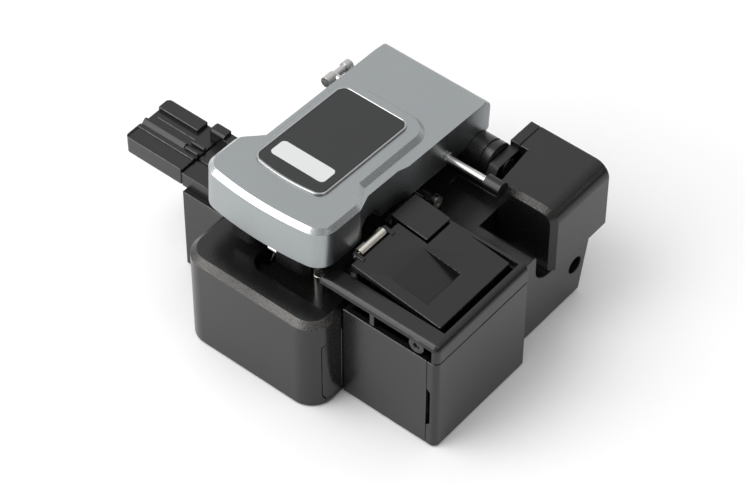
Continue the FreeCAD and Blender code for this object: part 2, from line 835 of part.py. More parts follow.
def make_rail():
    """Guide rail that the blade carriage slides on, screwed to the bottom plate."""
    solid = Solid("carriage_rail")
    half = rail_width / 2
    waist = half - rail_undercut
    section = outline(solid.sketch("XZ", -rail_front - rail_length), [
        (rail_x - half, rail_bottom),
        (rail_x + half, rail_bottom),
        (rail_x + half, rail_bottom + rail_height / 3),
        (rail_x + waist, rail_bottom + rail_height / 2),
        (rail_x + half, rail_bottom + rail_height - rail_lip),
        (rail_x + half, rail_bottom + rail_height),
        (rail_x - half, rail_bottom + rail_height),
        (rail_x - half, rail_bottom + rail_height - rail_lip),
        (rail_x - waist, rail_bottom + rail_height / 2),
        (rail_x - half, rail_bottom + rail_height / 3),
    ])
    solid.pad(section, rail_length)
    return node("carriage_rail", solid.body)


# ---------------------------------------------------------------- blade carriage
def make_carriage():
    """Saddle over the rail with an upright that holds the blade's axle."""
    solid = Solid("blade_carriage")
    left = blade_x + wheel_width / 2 + slide_gap
    right = left + carriage_width
    bottom = rail_bottom + rail_height - carriage_drop
    section = outline(solid.sketch("XZ", -carriage_front - carriage_depth), [
        (left, bottom),
        (rail_x - rail_width / 2 - slide_gap, bottom),
        (rail_x - rail_width / 2 - slide_gap, rail_bottom + rail_height + slide_gap),
        (rail_x + rail_width / 2 + slide_gap, rail_bottom + rail_height + slide_gap),
        (rail_x + rail_width / 2 + slide_gap, bottom),
        (right, bottom),
        (right, carriage_shoulder),
        (left + carriage_upright, carriage_shoulder),
        (left + carriage_upright, carriage_top),
        (left, carriage_top),
    ])
    solid.pad(section, carriage_depth)
    bore = circle(solid.sketch("YZ", left), wheel_y, wheel_z, axle_radius + run_fit)
    solid.pocket(bore, carriage_upright + wall, reverse=True)
    solid.fillet(edge_round, through(
        "x", (carriage_front, carriage_top), (carriage_front + carriage_depth, carriage_top)))
    return node("blade_carriage", solid.body)


def make_blade_wheel():
    """Round blade with a bevelled rim and a hub bore, turned on its axle to bring up a fresh edge."""
    solid = Solid("blade_wheel")
    half = wheel_width / 2
    profile = outline(solid.sketch("XZ", ZERO), [
        (-half, axle_radius + run_fit),
        (half, axle_radius + run_fit),
        (half, wheel_radius - blade_bevel),
        (ZERO + blade_edge, wheel_radius),
        (ZERO - blade_edge, wheel_radius),
        (-half, wheel_radius - blade_bevel),
    ])
    turn = solid.add("PartDesign::Revolution")
    turn.Profile = profile
    turn.ReferenceAxis = (next(p for p in solid.body.Origin.OriginFeatures if p.Role == "X_Axis"), [""])
    turn.Angle = FULL_TURN
    solid.built(turn)
    place(solid.body, blade_x, wheel_y, wheel_z)
    return node("blade_wheel", solid.body)


def make_blade_screw():
    """Shouldered screw that holds the blade: its head on the left, its shank in the carriage."""
    start = blade_x - wheel_width / 2 - screw_head_height - run_fit
    head = rod("blade_screw_head", "X", blade_head_radius, screw_head_height, start, wheel_y, wheel_z)
    shank_length = screw_head_height + run_fit + wheel_width + carriage_upright
    shank = rod("blade_screw_shank", "X", axle_radius, shank_length, start, wheel_y, wheel_z)
    return node("blade_screw", fuse("blade_screw_shape", head, shank))


# ---------------------------------------------------------------- hinge
def make_bracket_right():
    """Cheek that carries the right end of the hinge shaft, level on top and sloped in front."""
    solid = Solid("hinge_bracket_right")
    side = outline(solid.sketch("YZ", barrel_end + seam), [
        (hinge_y - bracket_front, deck_top),
        (base_rear, deck_top),
        (base_rear, cover_top - strip_thick),
        (hinge_y - bracket_front + wall, cover_top - strip_thick),
        (hinge_y - bracket_front, hinge_z),
    ])
    solid.pad(side, bracket_width)
    hole = circle(solid.sketch("YZ", barrel_end + seam), hinge_y, hinge_z, shaft_radius + run_fit)
    solid.pocket(hole, bracket_width, reverse=True)
    return node("hinge_bracket_right", solid.body)


def make_bracket_left():
    """Narrow lug that carries the left end of the shaft, inside the lever."""
    solid = Solid("hinge_bracket_left")
    start = barrel_start - seam - bracket_width
    side = outline(solid.sketch("YZ", start), [
        (hinge_y - lug_half, deck_top),
        (hinge_y + lug_half, deck_top),
        (hinge_y + lug_half, hinge_z, lug_half + seam),
        (hinge_y - lug_half, hinge_z),
    ])
    solid.pad(side, bracket_width)
    hole = circle(solid.sketch("YZ", start), hinge_y, hinge_z, shaft_radius + run_fit)
    solid.pocket(hole, bracket_width, reverse=True)
    return node("hinge_bracket_left", solid.body)


def make_shaft():
    start = barrel_start - seam - bracket_width - seam
    length = barrel_end - barrel_start + (bracket_width + seam + seam) * 2
    return node("hinge_shaft", rod("hinge_shaft_bar", "X", shaft_radius, length, start, hinge_y, hinge_z))


def turned_about_x(name, points):
    """A body of revolution about X from a profile of distance along X and radius."""
    solid = Solid(name)
    profile = outline(solid.sketch("XZ", ZERO), points)
    turn = solid.add("PartDesign::Revolution")
    turn.Profile = profile
    turn.ReferenceAxis = (next(p for p in solid.body.Origin.OriginFeatures if p.Role == "X_Axis"), [""])
    turn.Angle = FULL_TURN
    solid.built(turn)
    return solid


def make_barrel():
    """Knuckle that the lever is screwed to: a sleeve on the shaft with a flange at its right end."""
    bore = shaft_radius + run_fit
    solid = turned_about_x("hinge_barrel", [
        (barrel_start, bore),
        (barrel_end, bore),
        (barrel_end, barrel_radius - seam),
        (barrel_end - seam, barrel_radius),
        (barrel_end - flange_width, barrel_radius),
        (barrel_end - flange_width, barrel_radius - groove_depth),
        (barrel_end - flange_width - groove_width, barrel_radius - groove_depth),
        (barrel_end - flange_width - groove_width, barrel_radius),
        (barrel_start, barrel_radius),
    ])
    place(solid.body, ZERO, hinge_y, hinge_z)
    return node("hinge_barrel", solid.body)


# ---------------------------------------------------------------- lever
def lever_plan(solid, height):
    """Outline of the lever's lower slab: a straight arm, a stepped neck and a wide bowed head."""
    front = -lever_reach
    return outline(solid.sketch("XY", height), [
        (lever_left, lever_rear),
        (lever_left, -neck_front),
        (head_left, -head_back),
        (head_left, front, front_bow),
        (head_right, front),
        (head_right, -head_back),
        (lever_right - neck_step, -neck_front),
        (lever_right - neck_step, -neck_start - neck_run),
        (lever_right, -neck_start),
        (lever_right, lever_rear),
    ])


def plateau_plan(solid):
    """Outline of the raised top: it follows the head and is set in from the arm's right side."""
    front = -lever_reach
    return outline(solid.sketch("XY", lever_ledge), [
        (lever_left + plateau_inset_left, -plateau_back),
        (lever_left + plateau_inset_left, -neck_front),
        (head_left, -head_back),
        (head_left, front, front_bow),
        (head_right, front),
        (head_right, -head_back),
        (lever_right - plateau_inset_right, -neck_front + neck_lead),
        (lever_right - plateau_inset_right, -plateau_back),
    ])


def make_lever():
    """The aluminium lever: slab, raised top with a chamfer all round, hollow underside, hinge saddle."""
    solid = Solid("lever_body")
    solid.pad(lever_plan(solid, lever_low), lever_ledge - lever_low)
    front = -lever_reach
    head_corners = through("z", (head_left, front), (head_right, front))
    solid.fillet(head_round, head_corners)
    solid.fillet(neck_round, through("z", (head_left, -head_back), (head_right, -head_back)))
    raised = Solid("lever_plateau")
    raised.pad(plateau_plan(raised), plateau_rise)
    raised.fillet(head_round, head_corners)
    raised.fillet(neck_round, through("z", (head_left, -head_back), (head_right, -head_back)))
    raised.fillet(plateau_round, through(
        "z", (lever_left + plateau_inset_left, -plateau_back),
        (lever_right - plateau_inset_right, -plateau_back)))
    raised.chamfer(plateau_chamfer, level("z", lever_top))
    solid.join(raised)
    solid.fillet(lever_round, through("x", (lever_rear, lever_ledge)))
    solid.chamfer(lever_heel, through("x", (lever_rear, lever_low)))
    roof = lever_top - lever_roof
    hollow = outline(solid.sketch("XY", lever_low), [
        (lever_left + lever_wall, -hollow_back),
        (lever_left + lever_wall, -head_back - lever_wall),
        (head_left + lever_wall, -head_back - lever_wall),
        (head_left + lever_wall, front + front_wall),
        (head_right - lever_wall, front + front_wall),
        (head_right - lever_wall, -head_back - lever_wall),
        (lever_right - lever_wall - neck_step, -head_back - lever_wall),
        (lever_right - lever_wall - neck_step, -hollow_back),
    ])
    solid.pocket(hollow, roof - lever_low, reverse=True)
    saddle = circle(solid.sketch("YZ", lever_left - wall), ZERO, ZERO, barrel_radius + run_fit)
    solid.pocket(saddle, lever_width + wall * 2, reverse=True)
    gate = outline(solid.sketch("YZ", lever_right - lever_wall * 2), [
        (-gate_front, lever_low - wall),
        (-gate_back, lever_low - wall),
        (-gate_back, lever_low + gate_height / 2),
        (-gate_back - gate_height / 2, lever_low + gate_height),
        (-gate_front, lever_low + gate_height),
    ])
    solid.pocket(gate, lever_wall * 3, reverse=True)
    hole = circle(
        solid.sketch("YZ", lever_right - lever_wall * 2), -rod_reach, rod_rise, rod_radius + run_fit)
    solid.pocket(hole, lever_wall * 3, reverse=True)
    return node("lever_body", ride_lever(solid.body))


def plate_outline(solid, height, inset):
    """Nameplate outline: three straight sides and a bowed front."""
    left = plate_left + inset
    right = plate_left + plate_width - inset
    back = -plate_back - inset
    front = -plate_back - plate_length + inset
    return outline(solid.sketch("XY", height), [
        (left, front, plate_bow),
        (right, front),
        (right, back),
        (left, back),
    ])


def plate_corners(inset):
    left = plate_left + inset
    right = plate_left + plate_width - inset
    return [(x, y) for x in (left, right) for y in (-plate_back - inset, -plate_back - plate_length + inset)]


def make_bezel():
    """Polished rim round the nameplate."""
    solid = Solid("nameplate_bezel")
    solid.pad(plate_outline(solid, lever_top, ZERO), plate_height)
    solid.pocket(plate_outline(solid, lever_top, bezel_width), plate_height, reverse=True)
    solid.fillet(plate_round - bezel_width, through("z", *plate_corners(bezel_width)))
    solid.fillet(plate_round, through("z", *plate_corners(ZERO)))
    solid.fillet(bezel_round, level("z", lever_top + plate_height))
    return node("nameplate_bezel", ride_lever(solid.body))


def make_nameplate():
    """The plain dark plate inside the bezel."""
    solid = Solid("nameplate")
    inset = bezel_width + run_fit
    solid.pad(plate_outline(solid, lever_top, inset), plate_sheet)
    solid.fillet(plate_round - bezel_width, through("z", *plate_corners(inset)))
    return node("nameplate", ride_lever(solid.body))


def make_drive_rod():
    """Steel rod that sticks out of the lever's right wall."""
    start = lever_right - lever_wall - rod_inside
    length = lever_wall + rod_inside + rod_out + sleeve_length / 2
    bar = rod("drive_rod_bar", "X", rod_radius, length, start, -rod_reach, rod_rise)
    collar = rod(
        "drive_rod_collar", "X", collar_radius, collar_length, lever_right + run_fit, -rod_reach, rod_rise)
    return node("drive_rod", ride_lever(fuse("drive_rod_shape", bar, collar)))


def make_rod_sleeve():
    """Dark sleeve on the end of the drive rod."""
    start = lever_right + rod_out
    outer = rod("rod_sleeve_outer", "X", sleeve_radius, sleeve_length, start, -rod_reach, rod_rise)
    inner = rod(
        "rod_sleeve_inner", "X", rod_radius + run_fit, sleeve_length / 2 + seam, start, -rod_reach, rod_rise)
    return node("rod_sleeve", ride_lever(cut("rod_sleeve_shape", outer, inner)))


def make_side_post():
    """Stepped steel post beside the lever's left wall, on a short stud."""
    x = lever_left - post_out
    stud = rod("side_post_stud", "X", rod_radius, post_out, x, post_y, post_z)
    front_part = rod(
        "side_post_front", "Y", post_radius, post_length / 2, x, post_y - post_length / 2, post_z)
    neck = rod("side_post_neck", "Y", rod_radius, post_length, x, post_y - post_length / 2, post_z)
    knob = rod("side_post_knob", "Y", post_radius, post_length / 3, x, post_y + knob_start, post_z)
    tail = rod("side_post_tail", "Y", rod_radius, post_length, x, post_y - seam, post_z)
    return node("side_post", ride_lever(fuse("side_post_shape", stud, front_part, neck, knob, tail)))


# ---------------------------------------------------------------- clamps
def under_roof(name, thing):
    """Trim a piece that hangs in the lever so that it ends on the hollow's roof and behind its front wall."""
    roof = lever_top - lever_roof
    above = box(name + "_above", (head_left, head_right), (-lever_reach, ZERO), (roof, roof + clamp_height))
    front = box(name + "_front", (head_left, head_right),
                (-lever_reach - wall, -lever_reach + front_wall + seam),
                (lever_low - seam, roof + wall))
    return cut(name + "_shape", thing, ride_lever(fuse(name + "_trim", above, front)))


def make_clamps(side, left, width, foot):
    """Lower and upper clamp blocks with their rubber pads, one pair on each side of the blade."""
    low_y = (fibre_y - clamp_half, fibre_y + clamp_half)
    pad_x = (left + (width - pad_width) / 2, left + (width + pad_width) / 2)
    pad_y = (fibre_y - pad_length / 2, fibre_y + pad_length / 2)
    pad_low = fibre_z - pad_height
    block = box("lower_block_" + side, (left, left + width), low_y, (foot, pad_low))
    node("lower_clamp_" + side, rounded("lower_clamp_%s_shape" % side, block, seam * 2, level("z", pad_low)))
    node("lower_pad_" + side, box("lower_pad_%s_shape" % side, pad_x, pad_y, (pad_low, fibre_z)))
    upper_low = fibre_z + slide_gap
    solid = Solid("upper_clamp_" + side)
    plan = rectangle(solid.sketch("XY", upper_low), (left, left + width), (clamp_front, clamp_back))
    solid.pad(plan, clamp_height)
    solid.fillet(clamp_round, through("z", (left + width, clamp_front)))
    seat = rectangle(solid.sketch("XY", upper_low), pad_x, pad_y)
    solid.pocket(seat, pad_height, reverse=True)
    node("upper_clamp_" + side, under_roof("upper_clamp_" + side, solid.body))
    node("upper_pad_" + side, box(
        "upper_pad_%s_shape" % side, (pad_x[0] + run_fit, pad_x[1] - run_fit),
        (pad_y[0] + run_fit, pad_y[1] - run_fit), (fibre_z + seam / 2, upper_low + pad_height)))


def make_anvil():
    """Narrow finger between the upper clamps that bends the fibre over the blade."""
    tip = box("anvil_tip", (blade_x - anvil_half, blade_x + anvil_half),
              (fibre_y - anvil_half * 2, fibre_y + anvil_half * 2), (fibre_z + seam * 2, fibre_z + clamp_height))
    blunt = rounded("anvil_blunt", tip, seam * 3, level("z", fibre_z + seam * 2))
    return node("anvil", under_roof("anvil", blunt))


def make_latch():
    """Magnet on a post in the sunk tray and the bright stud on the lever that it holds."""
    post = rod("latch_magnet_bar", "Z", latch_radius, latch_z - tray_floor, latch_x, latch_y, tray_floor)
    node("latch_magnet", post)
    start = latch_z + seam
    bar = rod("latch_stud_bar", "Z", latch_radius, latch_length, latch_x, latch_y, start)
    blunt = rounded("latch_stud_blunt", bar, seam * 2, level("z", start), "Part::Chamfer")
    node("latch_stud", under_roof("latch_stud", blunt))


def make_clamp_screws():
    """Button-head screws in the sides of the upper clamps, either side of the blade."""
    left_side = blade_x - clamp_left_gap
    right_side = blade_x + clamp_right_gap
    y = clamp_front + clamp_screw_in
    z = fibre_z + clamp_screw_rise
    heads = [
        rod("clamp_screw_left", "X", screw_small, screw_small, left_side, y + screw_small * 2, z),
        rod("clamp_screw_right", "X", screw_small, clamp_screw_out, right_side - clamp_screw_out, y, z),
    ]
    return node("clamp_screws", group("clamp_screws_shape", *heads))


# ---------------------------------------------------------------- scrap box
def make_bin_housing():
    """Fixed shell of the scrap box, open at the top and at its right end."""
    solid = Solid("bin_housing")
    end = box_right - face_thick - seam
    plan = rectangle(solid.sketch("XY", FLOOR), (bin_left, end), (box_front, box_rear))
    solid.pad(plan, bin_top - FLOOR)
    inside = rectangle(solid.sketch("XY", FLOOR + wall), (bin_left + wall, end + wall),
                       (box_front + wall, box_rear - wall))
    solid.pocket(inside, bin_top - FLOOR, reverse=True)
    return node("bin_housing", solid.body)


def make_scrap_bin():
    """Drawer that catches the fibre ends: a tray behind a face plate with a fingernail recess."""
    solid = Solid("scrap_bin")
    face = box_right - face_thick
    plan = rectangle(solid.sketch("XY", FLOOR), (face, box_right), (box_front, box_rear))
    solid.pad(plan, bin_top - FLOOR)
    gap = wall + slide_gap
    tray = rectangle(solid.sketch("XY", FLOOR + gap), (bin_left + gap, face + seam),
                     (box_front + gap, box_rear - gap))
    solid.pad(tray, bin_top - FLOOR - gap - tray_drop)
    solid.fillet(box_edge, through("z", (box_right, box_front)))
    inside = rectangle(solid.sketch("XY", FLOOR + gap + tray_wall), (bin_left + gap + tray_wall, face - seam),
                       (box_front + gap + tray_wall, box_rear - gap - tray_wall))
    solid.pocket(inside, bin_top, reverse=True)
    nail = outline(solid.sketch("XZ", -box_front), [
        (face - seam, nail_low),
        (face + nail_width, nail_low + nail_width),
        (face + nail_width, nail_low + nail_height - nail_width),
        (face - seam, nail_low + nail_height),
    ])
    solid.pocket(nail, nail_depth)
    return node("scrap_bin", solid.body)


def make_scrap_frame():
    """Top of the scrap box: a rounded rim round the lid, open below at the front, with knuckles for the lid."""
    solid = Solid("scrap_frame")
    bottom = bin_top + slide_gap
    plan = rectangle(solid.sketch("XY", bottom), (box_left, box_right), (box_front, box_rear))
    solid.pad(plan, box_top - bottom)
    solid.fillet(box_edge, through("z", (box_right, box_front)))
    solid.fillet(edge_round, through("x", (box_front, box_top)))
    inside = rectangle(solid.sketch("XY", bottom), (box_left - wall, box_right - frame_wall),
                       (box_front - wall, box_rear - wall))
    solid.pocket(inside, box_top - wall - bottom, reverse=True)
    skirt = rectangle(solid.sketch("XY", bottom), (box_left, box_left + wall), (box_rear - rim_notch, box_rear))
    solid.pad(skirt, box_top - wall - bottom)
    rib = rectangle(
        solid.sketch("XY", bottom), (rib_x, rib_x + rib_width), (box_front + seam, box_front + rim_front))
    solid.pad(rib, box_top - wall - bottom)
    knuckle_z = box_top - knuckle_drop
    boss = circle(solid.sketch("XZ", -box_front - rim_front), knuckle_x, knuckle_z, knuckle_radius)
    solid.pad(boss, rim_front - seam)
    lid_space = outline(solid.sketch("XY", box_top), [
        (box_left - wall, box_front + rim_front),
        (box_right - rim_right, box_front + rim_front),
        (box_right - rim_right, box_rear - rim_rear),
        (notch_x, box_rear - rim_rear),
        (notch_x, box_rear - rim_rear - notch_width),
        (box_left - wall, box_rear - rim_rear - notch_width),
    ])
    solid.pocket(lid_space, wall + seam)
    hole = circle(solid.sketch("XZ", -box_front + wall), knuckle_x, knuckle_z, pin_radius + run_fit)
    solid.pocket(hole, box_depth + pin_over)
    # The corner that the lid goes round slopes as the lid does when it rests.
    near = knuckle_x - notch_x
    far = knuckle_x - box_left - wall
    shift = knuckle_drop * lift_sin
    rise = knuckle_drop * lift_cos
    slope = outline(solid.sketch("XZ", rim_rear - box_rear), [
        (knuckle_x - far * lift_cos + shift, box_top - seam),
        (notch_x, box_top - seam),
        (knuckle_x - near * lift_cos + shift, knuckle_z + near * lift_sin + rise),
        (knuckle_x - far * lift_cos + shift, knuckle_z + far * lift_sin + rise),
    ])
    solid.pad(slope, notch_width)
    return node("scrap_frame", solid.body)


def make_lid_pin():
    length = box_depth - wall
    pin = rod("lid_pin_bar", "Y", pin_radius, length, knuckle_x, box_front + wall / 2, box_top - knuckle_drop)
    return node("lid_pin", pin)


def on_lid(thing):
    """Put a piece that is drawn flat about the lid's pin onto the tilted lid."""
    place(thing, knuckle_x, ZERO, box_top - knuckle_drop, FreeCAD.Vector(0, 1, 0), lid_lift)
    return thing


def make_lid():
    """L-shaped lid with a sloping finger recess, ears round the pin and two arms for the pinch roller."""
    solid = Solid("scrap_lid")
    front = box_front + rim_front + lid_gap
    rear = box_rear - rim_rear - lid_gap
    step = rear - notch_width
    left = lid_left - knuckle_x
    right = box_right - rim_right - lid_right_gap - knuckle_x
    notch = notch_x + lid_gap - knuckle_x
    under = knuckle_drop - lid_thick
    plan = outline(solid.sketch("XY", under), [
        (left, front), (right, front), (right, rear), (notch, rear), (notch, step), (left, step)])
    solid.pad(plan, lid_thick)
    tub = rectangle(solid.sketch("XY", under - tub_depth), (tub_left - wall, tub_right + wall),
                    (front + wall, tub_rear + wall))
    solid.pad(tub, tub_depth + seam)
    ear_reach = ear_radius + seam
    for start in (front, rear - ear_width):
        ear = circle(solid.sketch("XZ", -start - ear_width), ZERO, ZERO, ear_radius)
        solid.pad(ear, ear_width)
        web = rectangle(solid.sketch("XZ", -start - ear_width), (-ear_radius, ear_radius), (ZERO, under + seam))
        solid.pad(web, ear_width)
    recess = outline(solid.sketch("XZ", -(front + wall * 2)), [
        (tub_right, knuckle_drop + seam),
        (tub_left, knuckle_drop + seam),
        (tub_left, knuckle_drop),
        (tub_right, under - tub_depth + wall),
    ])
    solid.pocket(recess, tub_rear - front - wall * 2)
    fork = rectangle(solid.sketch("XY", knuckle_drop), (left - wall, left + fork_in),
                     (roller_front - slide_gap, roller_front + pinch_length + slide_gap))
    solid.pocket(fork, lid_thick + wall)
    for start in (roller_front - slide_gap - tray_wall, roller_front + pinch_length + slide_gap):
        cheek = rectangle(solid.sketch("XZ", -start - tray_wall), (left - pinch_out - pin_radius, left + wall),
                          (knuckle_drop - pinch_drop - pin_radius, knuckle_drop + slide_gap))
        solid.pad(cheek, tray_wall)
    bore = circle(solid.sketch("XZ", -front + wall), ZERO, ZERO, pin_radius + run_fit)
    solid.pocket(bore, box_depth)
    roller_bore = circle(solid.sketch("XZ", -roller_front + wall * 2), left - pinch_out,
                         knuckle_drop - pinch_drop, pinch_axle + run_fit)
    solid.pocket(roller_bore, pinch_length + wall * 4)
    return node("scrap_lid", on_lid(solid.body))


def make_pinch_roller():
    """Polished steel roller in the lid's fork, with thin journals at both ends."""
    drum = rod("pinch_drum", "Y", pinch_radius, pinch_length, pinch_x, roller_front, pinch_z)
    axle = rod("pinch_axle_bar", "Y", pinch_axle, pinch_length + tray_wall * 2 + slide_gap * 2, pinch_x,
               roller_front - tray_wall - slide_gap, pinch_z)
    return node("pinch_roller", fuse("pinch_roller_shape", drum, axle))


def make_feed_roller():
    """Rubber roller under the pinch roller, on its own steel axle between two posts."""
    tube = rod("feed_tube", "Y", feed_radius, pinch_length, feed_x, roller_front, feed_z)
    bore = rod("feed_bore", "Y", pin_radius + run_fit, pinch_length, feed_x, roller_front, feed_z)
    node("feed_roller", cut("feed_roller_shape", tube, bore))
    axle_length = pinch_length + (tray_wall + slide_gap) * 2
    start = roller_front - tray_wall - slide_gap
    node("feed_axle", rod("feed_axle_bar", "Y", pin_radius, axle_length, feed_x, start, feed_z))
    posts = []
    for y in (start, roller_front + pinch_length + slide_gap):
        post = box("feed_post", (feed_x - feed_post_half, feed_x + feed_post_half), (y, y + tray_wall),
                   (tray_floor, feed_z + feed_post_half))
        drill = rod("feed_drill", "Y", pin_radius + run_fit, tray_wall, feed_x, y, feed_z)
        posts.append(cut("feed_post_shape", post, drill))
    node("feed_posts", group("feed_posts_shape", *posts))


# ---------------------------------------------------------------- rear cover
def make_rear_cover():
    """Cover over the drive at the rear right, hooked down over the base's ledge, with a chamfered front."""
    solid = Solid("rear_cover")
    rear = cover_front + cover_depth
    right = base_right + cover_out
    plan = outline(solid.sketch("XY", ledge_top + seam), [
        (cover_bend, cover_front),
        (right, cover_front),
        (right, rear),
        (bracket_right + seam, rear),
        (bracket_right + seam, base_rear - strip_gap),
        (cover_left, base_rear - strip_gap),
    ])
    solid.pad(plan, cover_top - ledge_top - seam)
    solid.fillet(cover_round, through("y", (right, cover_top)))

    def outer(edge):
        spans = edge.BoundBox
        return spans.ZMax > plain(ledge_top + wall) and spans.XMax > plain(cover_bend + wall)

    solid.chamfer(cover_chamfer, level("y", cover_front, outer))
    return node("rear_cover", solid.body)


def make_cover_strip():
    """Narrow cap over the bearing cheek, level with the rear cover."""
    cap = box("cover_strip_block", (barrel_end + seam, bracket_right),
              (base_rear - strip_gap, cover_front + cover_depth),
              (cover_top - strip_thick, cover_top))
    return node("cover_strip", rounded("cover_strip_shape", cap, seam, level("z", cover_top), "Part::Chamfer"))


def make_return_screw():
    """Adjusting screw that lies along X on the deck, in a lug, with a hexagon socket in its head."""
    lug = box("screw_lug_block", (lug_x, lug_x + lug_width), (screw_y - lug_width, screw_y + lug_width),
              (deck_top, screw_z + screw_radius * 2))
    drill = rod("screw_lug_drill", "X", screw_radius + run_fit, lug_width, lug_x, screw_y, screw_z)
    node("screw_lug", cut("screw_lug_shape", lug, drill))
    shank = rod("screw_shank", "X", screw_radius, screw_length, lug_x, screw_y, screw_z)
    head = rod("screw_head", "X", button_radius, button_height, lug_x + screw_length, screw_y, screw_z)
    whole = fuse("screw_whole", shank, head)
    socket = doc.addObject("Part::Prism", "screw_socket")
    socket.Polygon = HEX_SIDES
    bind(socket, "Circumradius", screw_radius)
    bind(socket, "Height", screw_radius * 2)
    socket.Placement = FreeCAD.Placement(FreeCAD.Vector(), TURN["X"])
    for path, size in (("x", lug_x + screw_length + socket_start), ("y", screw_y), ("z", screw_z)):
        bind(socket, "Placement.Base." + path, size)
    node("return_screw", cut("return_screw_shape", whole, socket))


# ---------------------------------------------------------------- fibre holder and seat
def make_seat():
    """Block on the left arm that the fibre holder plugs into."""
    solid = Solid("holder_seat")
    left = seat_left
    plan = rectangle(
        solid.sketch("XY", arm_top), (left, left + seat_length), (seat_front, seat_front + seat_depth))
    solid.pad(plan, seat_top - arm_top)
    step = rectangle(solid.sketch("XY", arm_top), (housing_left - seam * 2, left + seat_length + wall),
                     (seat_front - wall, seat_front + seat_depth + wall))
    solid.pocket(step, housing_top + seam - arm_top, reverse=True)
    tunnel = rectangle(solid.sketch("YZ", left),
                       (tongue_y - slide_gap / 2, tongue_y + tongue_width + slide_gap / 2),
                       (arm_top, arm_top + tongue_height + slide_gap / 2))
    solid.pocket(tunnel, seat_length, reverse=True)
    groove = outline(solid.sketch("YZ", left), [
        (fibre_y - groove_half, seat_top + seam),
        (fibre_y, seat_top - groove_half),
        (fibre_y + groove_half, seat_top + seam),
    ])
    solid.pocket(groove, seat_length, reverse=True)
    return node("holder_seat", solid.body)


def make_holder_stop():
    """Stop with a rounded front that stands on the seat and reaches over the holder."""
    solid = Solid("holder_stop")
    span = (stop_y, stop_y + stop_width)
    solid.pad(rectangle(solid.sketch("XY", stop_low), (stop_left, stop_right), span), stop_high - stop_low)
    solid.pad(rectangle(solid.sketch("XY", seat_top), (seat_left, stop_tail), span), stop_low - seat_top + seam)
    tail = rectangle(solid.sketch("XY", seat_top), (stop_right - seam, stop_tail), span)
    solid.pad(tail, stop_high - stop_step - seat_top)
    solid.fillet(stop_round, through("x", (stop_y, stop_high)))
    solid.fillet(stop_round, through("z", (stop_left, stop_y), (stop_left, stop_y + stop_width)))
    return node("holder_stop", solid.body)


def make_holder():
    """Fibre holder: a grooved plate with a sunk panel, a ridge, a trough, two pins and a raised rear block."""
    solid = Solid("fibre_holder")
    low = arm_top + slide_gap / 2
    top = arm_top + holder_height
    rear = holder_front + holder_depth
    ridge_front = fibre_y + ridge_out
    ridge_rear = ridge_front + ridge_width
    section = outline(solid.sketch("YZ", holder_left), [
        (holder_front, low),
        (rear, low),
        (rear, top + block_rise),
        (rear - block_depth, top + block_rise),
        (rear - block_depth, top - trough_drop),
        (ridge_rear, top - trough_drop),
        (ridge_rear, top + ridge_rise),
        (ridge_front, top + ridge_rise),
        (fibre_y + groove_half, top),
        (fibre_y, top - groove_half),
        (fibre_y - groove_half, top),
        (holder_front, top),
    ])
    solid.pad(section, holder_length)
    short = rectangle(solid.sketch("XY", top - trough_drop), (holder_right - block_short, holder_right + wall),
                      (rear - block_depth, rear + wall))
    solid.pocket(short, block_rise * 2 + trough_drop, reverse=True)
    panel = rectangle(solid.sketch("XY", top), (holder_left + groove_half, holder_right + wall),
                      (holder_front + groove_half, fibre_y - groove_half * 3))
    solid.pocket(panel, panel_sunk)
    middle = (ridge_rear + rear - block_depth) / 2
    line = rectangle(solid.sketch("XY", top - trough_drop), (holder_left + wall, holder_right - pin_length),
                     (middle - seam / 2, middle + seam / 2))
    solid.pocket(line, seam)
    bed = rectangle(solid.sketch("XY", top + ridge_rise), (holder_right - pin_length, holder_right + wall),
                    (fibre_y - groove_half, ridge_rear + pin_round * 3))
    solid.pocket(bed, ridge_rise + bed_drop)
    for y in (fibre_y + pin_round, ridge_rear + pin_round * 2):
        pin = circle(solid.sketch("YZ", holder_right - pin_length + slide_gap), y, top - bed_drop + pin_round / 2,
                     pin_round)
        solid.pad(pin, pin_length - slide_gap)
    tongue = rectangle(solid.sketch("YZ", holder_right - wall), (tongue_y, tongue_y + tongue_width),
                       (low, arm_top + tongue_height))
    solid.pad(tongue, tongue_length + wall)
    solid.fillet(holder_round, through("z", (holder_left, holder_front), (holder_left, rear)))
    return node("fibre_holder", solid.body)


def check(thing):
    """Stop if an object failed, or its shape is missing or not valid."""
    if "Invalid" in thing.State or "Error" in thing.State:
        raise ValueError("%s failed" % thing.Name)


def main():
    make_base_body()
    make_front_housing()
    make_side_panel()
    make_bottom_plate()
    make_bottom_screws()
    make_rubber_feet()
    make_rail()
    make_carriage()
    make_blade_wheel()
    make_blade_screw()
    make_bracket_right()
    make_bracket_left()
    make_shaft()
    make_barrel()
    make_lever()
    make_bezel()
    make_nameplate()
    make_drive_rod()
    make_rod_sleeve()
    make_side_post()
    make_clamps("left", blade_x - clamp_left_gap - clamp_width, clamp_width, housing_top)
    make_clamps("right", blade_x + clamp_right_gap, clamp_right_width, tray_floor)
    make_anvil()
    make_latch()
    make_clamp_screws()
    make_bin_housing()
    make_scrap_bin()
    make_scrap_frame()
    make_lid_pin()
    make_lid()
    make_pinch_roller()
    make_feed_roller()
    make_rear_cover()
    make_cover_strip()
    make_return_screw()
    make_seat()
    make_holder_stop()
    make_holder()
    doc.recompute()
    for thing in doc.Objects:
        check(thing)
    os.makedirs("parts", exist_ok=True)
    for thing in NODES:
        shape = thing.Shape
        if shape.isNull() or not shape.isValid():
            raise ValueError("%s has no valid shape" % thing.Label)
        print(thing.Label, len(shape.Solids), round(shape.Volume, 1))
        shape.exportStep("parts/%s.step" % thing.Label)


main()
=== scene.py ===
import bmesh
import bpy
import json
import math
from mathutils import Matrix, Vector


